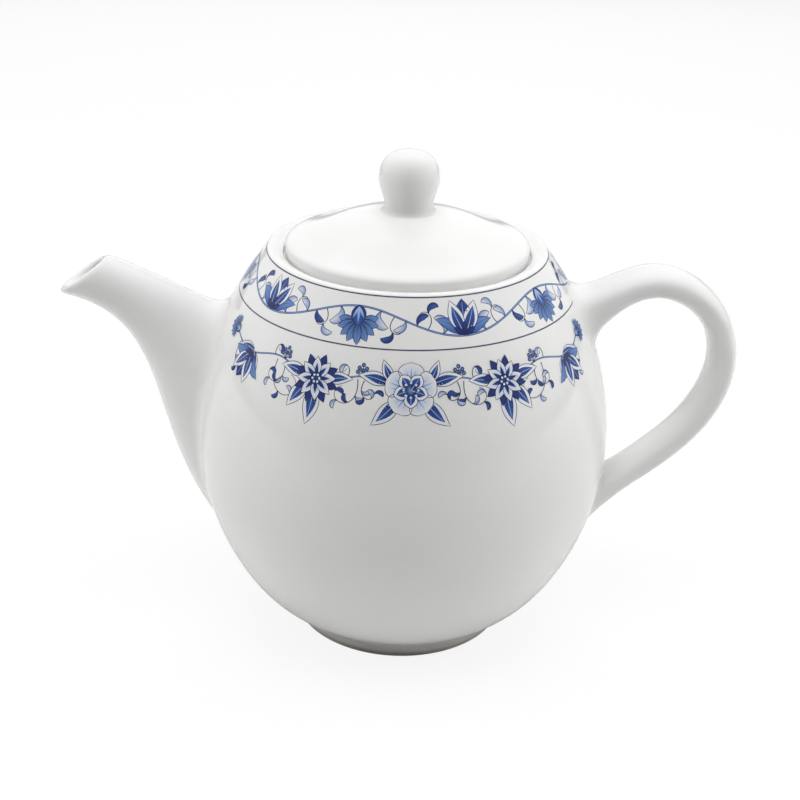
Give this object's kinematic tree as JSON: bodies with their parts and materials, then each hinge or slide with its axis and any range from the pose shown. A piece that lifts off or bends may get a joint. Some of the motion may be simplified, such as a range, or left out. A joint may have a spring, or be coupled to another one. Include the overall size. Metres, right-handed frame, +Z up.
{
  "type": "teapot",
  "caption": "Round glazed porcelain teapot on a foot ring, with a curved spout, a loop handle and a lift-off lid with a knob, for brewing and pouring tea.",
  "frame": {"origin": "centre of the foot ring's standing plane, on the pot's axis", "axes": "+Z up along the pot's axis, +X towards the handle, -X towards the spout"},
  "size_m": [0.2113, 0.1302, 0.1564],
  "materials": {
    "pot_glaze": "gloss",
    "lid_glaze": "gloss",
    "bare_porcelain": "matt"
  },
  "bodies": {
    "pot": {"pot_body": "pot_glaze", "foot_ring": "bare_porcelain", "spout": "pot_glaze", "handle": "pot_glaze"},
    "lid": {"lid": "lid_glaze", "lid_knob": "lid_glaze"}
  },
  "joints": [
    {"name": "lid_lift", "type": "slide", "parent": "pot", "child": "lid", "axis": [0, 0, 1], "range_m": [0, 0.06]}
  ]
}
